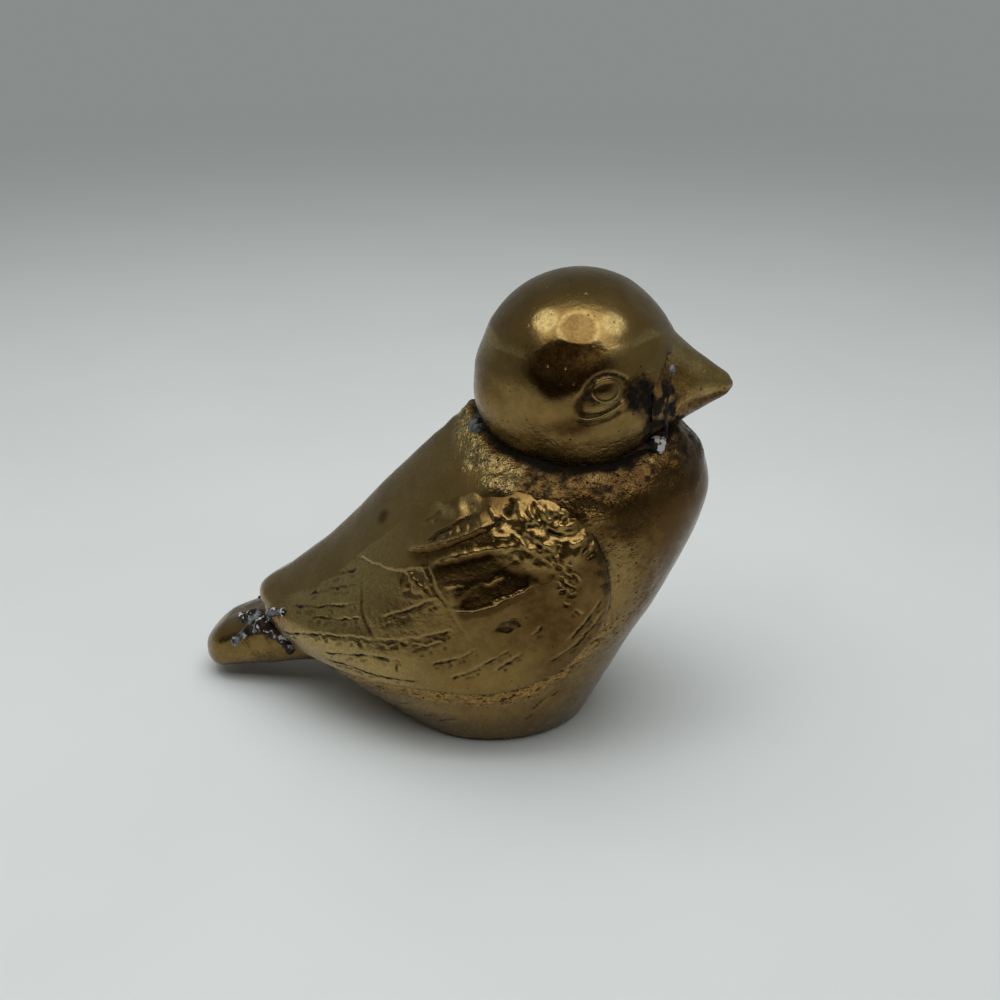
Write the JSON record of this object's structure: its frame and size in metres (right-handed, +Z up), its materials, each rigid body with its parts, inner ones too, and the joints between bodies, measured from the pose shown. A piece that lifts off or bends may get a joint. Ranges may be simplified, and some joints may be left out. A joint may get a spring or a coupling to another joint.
{
  "type": "bird figurine",
  "caption": "Small cast-brass songbird ornament with a ball head, cone beak, folded wings and blunt tail, hollow below and standing on a ground foot rim.",
  "frame": {"origin": "on the surface that the foot rim stands on, under the middle of the bird's whole length", "axes": "+X from tail to beak, the way the bird looks; +Y to the bird's left; +Z up"},
  "size_m": [0.101, 0.0536, 0.0855],
  "materials": {
    "aged_brass": "satin worn brass with brown tarnish and dark dirt in the carving",
    "solder": "dull grey soft solder, darkened"
  },
  "bodies": {
    "root": {"body_shell": "aged_brass", "head_shell": "aged_brass", "beak": "aged_brass", "right_wing": "aged_brass", "left_wing": "aged_brass", "tail": "aged_brass", "neck_solder": "solder", "beak_solder": "solder", "right_tail_solder": "solder", "left_tail_solder": "solder"}
  },
  "joints": []
}
